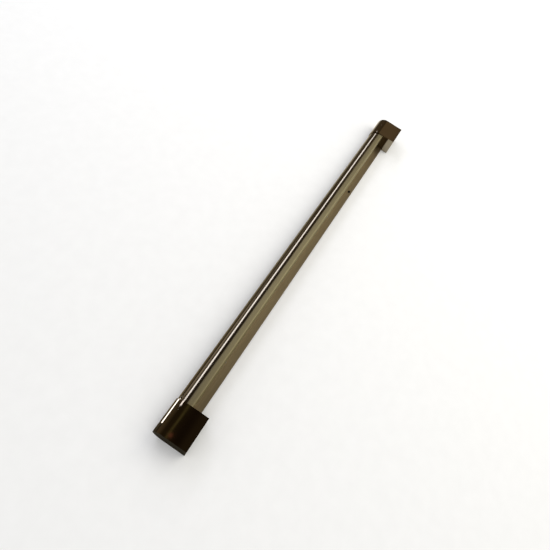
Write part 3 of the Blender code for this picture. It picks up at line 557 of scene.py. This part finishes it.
COVER_SCREWS = [f"cover_screw_{side}_{i}" for side in ("left", "right") for i in (1, 2)]
TERMINAL_SCREWS = [f"terminal_screw_{i}" for i in (1, 2, 3)]
SCREWS = [                       # nodes, head direction, height of the head's face, recess, profile
    (["bonding_screw"], UP, 1.7 * MM, cross_for(3 * MM),
     pan_profile(3 * MM, 1.7 * MM, 1.45 * MM, 3 * MM)),
    (["earth_screw"], UP, 2 * MM, cross_for(3 * MM),
     pan_profile(3 * MM, 2 * MM, 1.45 * MM, 3.2 * MM)),
    (["guard_screw_1", "guard_screw_2"], DOWN, 1.1 * MM, cross_for(2.3 * MM),
     pan_profile(2.3 * MM, 1.1 * MM, 1.2 * MM, 3.6 * MM)),
    (["lampholder_screw_1", "lampholder_screw_2"], REARWARD, 1.6 * MM, cross_for(2.6 * MM),
     pan_profile(2.6 * MM, 1.6 * MM, 1.2 * MM, 4.6 * MM)),
    (COVER_SCREWS, DOWN, 0.0, cross_for(2.9 * MM),
     countersunk_profile(2.9 * MM, 1.3 * MM, 7.4 * MM)),
    (TERMINAL_SCREWS, UP, 2.6 * MM, slot_for(1.7 * MM),
     terminal_profile(1.7 * MM, 2.6 * MM)),
]
RECESS_DEPTH = 0.9 * MM
SCREW_CREASE = math.radians(32)  # shading breaks at edges sharper than this


def detailed_screws(materials):
    """Each screw again with its thread and recess, in place of the plain CAD one."""
    for names, toward, height, recess, profile in SCREWS:
        toward = Vector(toward)
        for name in names:
            screw = mesh_object(name + "_threaded", turned(profile))
            hollow = bmesh.new()
            push(hollow, recess, height - RECESS_DEPTH, height + RECESS_DEPTH)
            carve(screw, mesh_object(name + "_recess", hollow))
            screw.data.polygons.foreach_set("use_smooth", [True] * len(screw.data.polygons))
            screw.data.set_sharp_from_angle(angle=SCREW_CREASE)
            screw.rotation_euler = Vector(UP).rotation_difference(toward).to_euler()
            low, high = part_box(name)
            face = [(high if toward[i] > 0 else low)[i] if toward[i] else (low[i] + high[i]) / 2
                    for i in range(3)]
            screw.location = Vector(face) - toward * height
            link(screw, materials[SLOTS[name]], "fixture")
            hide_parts(name)


ROCKER_TILT = math.radians(10)   # the rocker's lean at rest
ROCKER_HALF = 5.9 * MM           # half height of the rocker's face
FACE_MIDDLE = 1.5 * MM           # the face's hollow middle, out from the hinge
FACE_RISE = 1.1 * MM             # how much further out the face's ends are
FACE_LEAN = math.atan2(FACE_RISE, ROCKER_HALF)
MARK_HEIGHT = 3.2 * MM           # each mark's middle, up or down from the hinge
MARK_SUNK, MARK_PROUD = -0.05 * MM, 0.04 * MM
BAR_MARK = (0.95 * MM, 0.17 * MM)        # half height and half width
RING_MARK = (0.66 * MM, 0.96 * MM)       # inner and outer radius
RING_SIDES = 24


def bar_outlines():
    """The on mark, an upright bar, as one flat outline."""
    h, w = BAR_MARK
    return [[(-h, -w), (h, -w), (h, w), (-h, w)]]


def ring_outlines():
    """The off mark, a ring, as flat outlines that meet edge to edge."""
    inner, outer = RING_MARK
    outlines = []
    for i in range(RING_SIDES):
        start, end = (2 * math.pi * (i + k) / RING_SIDES for k in (0, 1))
        corners = ((inner, start), (inner, end), (outer, end), (outer, start))
        outlines.append([(radius * math.cos(a), radius * math.sin(a)) for radius, a in corners])
    return outlines


def rocker_marks(materials):
    """A printed bar on the lower half of the rocker's face and a ring on the upper half."""
    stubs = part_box("switch_rocker")
    depth = (stubs[0].y + stubs[1].y) / 2
    hinge = Vector((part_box("end_cover_left")[0].x, depth, SWITCH_HEIGHT))
    tilt = Matrix.Rotation(ROCKER_TILT, 4, "Y")
    out = FACE_MIDDLE + FACE_RISE * MARK_HEIGHT / ROCKER_HALF
    for half, name, outlines in ((-1, "on_bar", bar_outlines()), (1, "off_ring", ring_outlines())):
        bm = bmesh.new()
        for outline in outlines:
            push(bm, outline, MARK_SUNK, MARK_PROUD)
        bmesh.ops.remove_doubles(bm, verts=bm.verts, dist=0.001 * MM)
        mark = mesh_object(name, bm)
        spot = Matrix.Translation((-out, 0, half * MARK_HEIGHT))
        facing = Matrix.Rotation(math.radians(-90) - half * FACE_LEAN, 4, "Y")
        mark.matrix_world = Matrix.Translation(hinge) @ tilt @ spot @ facing
        link(mark, materials["mark_white"], "rocker")


# ---------------------------------------------------------------- camera, floor and light
CAMERA_PLACE = Vector((0.5622, 0.0282, 0.7574))
CAMERA_TARGET = Vector((0.1049, -0.0174, 0.0200))
CAMERA_ROLL = math.radians(28.92)
CAMERA_LENS = 29.455


def place_camera():
    """The photo's view: from above, past the right block."""
    data = bpy.data.cameras.new("camera")
    data.lens = CAMERA_LENS
    data.sensor_width = 36
    data.clip_start = 0.01
    camera = bpy.data.objects.new("camera", data)
    bpy.context.scene.collection.objects.link(camera)
    aim = (CAMERA_TARGET - CAMERA_PLACE).to_track_quat("-Z", "Y")
    camera.rotation_mode = "QUATERNION"
    camera.rotation_quaternion = aim @ Quaternion((0, 0, 1), CAMERA_ROLL)
    camera.location = CAMERA_PLACE
    bpy.context.scene.camera = camera


def area_light(name, place, target, size, power, colour):
    """A rectangular light with its width along x, unseen by the camera."""
    data = bpy.data.lights.new(name, "AREA")
    data.shape = "RECTANGLE"
    data.size, data.size_y = size
    data.energy = power
    data.color = colour
    light = bpy.data.objects.new(name, data)
    light.location = place
    back = (Vector(place) - Vector(target)).normalized()
    across = Vector((1, 0, 0))
    upright = back.cross(across).normalized()
    across = upright.cross(back)
    light.rotation_euler = Matrix((across, upright, back)).transposed().to_euler()
    light.visible_camera = False
    bpy.context.scene.collection.objects.link(light)
    return light


# What the polish mirrors above the table.  Positions are shares of a direction along z or y.
ROOM_STOPS = [(0.0, (0.085, 0.062, 0.036)), (0.45, (0.075, 0.053, 0.028)),
              (0.85, (0.024, 0.016, 0.007))]
BAND = (-0.06, 0.01)             # a band along the bar, darker in its middle
BAND_STOPS = [(0.0, (1.0, 1.0, 1.0)), (0.40, (0.50, 0.45, 0.50)), (0.50, (0.50, 0.45, 0.50)),
              (0.72, (1.05, 1.05, 1.2)), (1.0, (1.0, 1.0, 1.0))]
EDGE_ACROSS = (-0.0151, -0.9982, -0.0585)    # an olive edge overhead lies square to this
EDGE_COLOUR = (0.080, 0.066, 0.023)
EDGE_DEGREES = (0.22, 0.08)                  # off the edge: where it fades in, and where it is full
EDGE_HEIGHTS = (0.96, 0.972)                 # along z: where it fades in, and where it is full
PATCHES = [                      # direction, colour, degrees where it fades in and where it is full
    ((-0.805, -0.035, 0.592), (0.150, 0.108, 0.060), (3.2, 1.6)),
    ((-0.1519, -0.0502, 0.9873), (0.170, 0.060, 0.034), (0.38, 0.10)),
]
PALE_STRENGTH = 0.85


def mirrored_room(sky):
    """A dim warm room with a darker band, an olive edge and two lit patches."""
    room = sky.ramp(sky.axis("Z"), ROOM_STOPS)
    band = sky.ramp(sky.spread(sky.axis("Y"), *BAND), BAND_STOPS)
    room = sky.mix(1.0, room, band, "MULTIPLY")
    beside = sky.math("ABSOLUTE", sky.toward(EDGE_ACROSS))
    sines = (math.sin(math.radians(angle)) for angle in EDGE_DEGREES)
    near_edge = sky.spread(beside, *sines)
    edge = sky.math("MULTIPLY", near_edge, sky.spread(sky.axis("Z"), *EDGE_HEIGHTS))
    room = sky.mix(edge, room, EDGE_COLOUR)
    for direction, colour, degrees in PATCHES:
        cosines = (math.cos(math.radians(angle)) for angle in degrees)
        room = sky.mix(sky.spread(sky.toward(direction), *cosines), room, colour)
    return room


def light_world():
    """Pale for the eye and for soft fill; a dim warm room for the polish to mirror."""
    world = bpy.data.worlds.new("studio")
    bpy.context.scene.world = world
    world.use_nodes = True
    world.cycles.sampling_method = "NONE"
    tree = world.node_tree
    tree.nodes.clear()
    sky = Nodes(tree, "Generated")
    pale = tree.nodes.new("ShaderNodeBackground")
    pale.inputs["Color"].default_value = (1, 1, 1, 1)
    pale.inputs["Strength"].default_value = PALE_STRENGTH
    mirrored = tree.nodes.new("ShaderNodeBackground")
    sky.feed(mirrored.inputs["Color"], mirrored_room(sky))
    blend = tree.nodes.new("ShaderNodeMixShader")
    chosen = (sky.glossy_ray(), pale.outputs[0], mirrored.outputs[0])
    for socket, value in zip(blend.inputs, chosen):
        sky.feed(socket, value)
    output = tree.nodes.new("ShaderNodeOutputWorld")
    sky.feed(output.inputs["Surface"], blend.outputs[0])


FLOOR_SIZE = 40                  # metres from its middle to each edge, out to near the horizon
FLOOR_DROP = 0.2 * MM            # under the blocks, so that the two don't share a plane
# The warm table that the polish mirrors, with painted light and shade: across it, along it, and
# beside the right block.
TABLE_ACROSS = (-0.20, 0.12)
TABLE_LIGHT_STOPS = [(0.0, (0.0495, 0.0429, 0.033)), (0.25, (0.1155, 0.099, 0.07425)),
               (0.40, (0.363, 0.33, 0.264)), (0.52, (0.693, 0.627, 0.495)),
               (0.75, (0.6435, 0.6765, 0.6765)), (1.0, (0.594, 0.6105, 0.594))]
TABLE_ALONG = (-0.45, 0.45)
# Painted light along the mirrored table, dimmer toward the right block's end.
LENGTHWISE_LIGHT_STOPS = [(0.0, (1.0, 1.0, 1.0)), (0.30, (0.74, 0.74, 0.68)),
                    (0.55, (0.60, 0.58, 0.51)), (0.92, (0.43, 0.38, 0.28))]
# Painted shade on the mirrored table beside the right block.
TABLE_SHADE_SPAN = (0.400, 0.455)
TABLE_SHADE_COLOUR = (0.062, 0.055, 0.040)


def lay_floor():
    """A pale floor.  The polish mirrors it as a warm table with painted shade that darkens it away
    from the warmer.
    """
    bm = bmesh.new()
    bmesh.ops.create_grid(bm, x_segments=1, y_segments=1, size=FLOOR_SIZE)
    bmesh.ops.translate(bm, verts=bm.verts, vec=(0, 0, -FLOOR_DROP))
    floor = mesh_object("floor", bm)
    bpy.context.scene.collection.objects.link(floor)
    finish = Finish("floor")
    finish.set("Roughness", 0.9)
    finish.set("Specular IOR Level", 0.0)
    grain = finish.noise(40, detail=4)
    pale = finish.ramp(grain, [(0.3, (0.85, 0.85, 0.845)), (0.7, (0.87, 0.87, 0.865))])
    table = finish.ramp(finish.spread(finish.axis("Y"), *TABLE_ACROSS), TABLE_LIGHT_STOPS)
    lengthwise_painted_light = finish.ramp(finish.spread(finish.axis("X"), *TABLE_ALONG), LENGTHWISE_LIGHT_STOPS)
    table = finish.mix(1.0, table, lengthwise_painted_light, "MULTIPLY")
    table = finish.mix(finish.spread(finish.axis("X"), *TABLE_SHADE_SPAN), table, TABLE_SHADE_COLOUR)
    finish.set("Base Color", finish.mix(finish.glossy_ray(), pale, table))
    floor.data.materials.append(finish.material)


LIGHTS = [                       # name, place, target, size, power, colour
    ("rear_softbox", (-1.08, 1.0, 1.5), (-1.08, 0, 0.02), (2.1, 1.8), 16.9, (1.0, 0.95, 0.82)),
    ("front_strip", (-1.285, -1.2, 1.22), (-1.285, 0, 0.03), (2.67, 0.42), 9.2, (0.86, 0.88, 1.0)),
]
CARDS = [                        # the same, for small cards that show in the polish only
    ("front_card", (-0.07, -1.0, 0.20), (-0.07, 0, 0.02), (0.48, 0.40), 0.135, (1.0, 0.88, 0.72)),
    ("side_card", (-0.60, -1.0, 0.20), (-0.60, 0, 0.02), (0.58, 0.40), 0.050, (1.0, 0.88, 0.72)),
    ("block_card", (0.405, -0.106, 0.012), (0.405, 0, 0.02), (0.05, 0.024), 0.018, (0.9, 0.92, 1)),
]


def light_studio():
    """Soft light from behind, one long strip for the bar's streak, small cards for the polish."""
    for light in LIGHTS:
        area_light(*light)
    for light in CARDS:
        area_light(*light).visible_diffuse = False


# ---------------------------------------------------------------- whole scene
def main():
    bpy.context.scene.view_settings.view_transform = "Standard"
    place_camera()
    materials = {make.__name__: make() for make in FINISHES}
    dress_nodes(materials)
    wound_coil(materials)
    detailed_screws(materials)
    rocker_marks(materials)
    lay_floor()
    light_world()
    light_studio()


main()
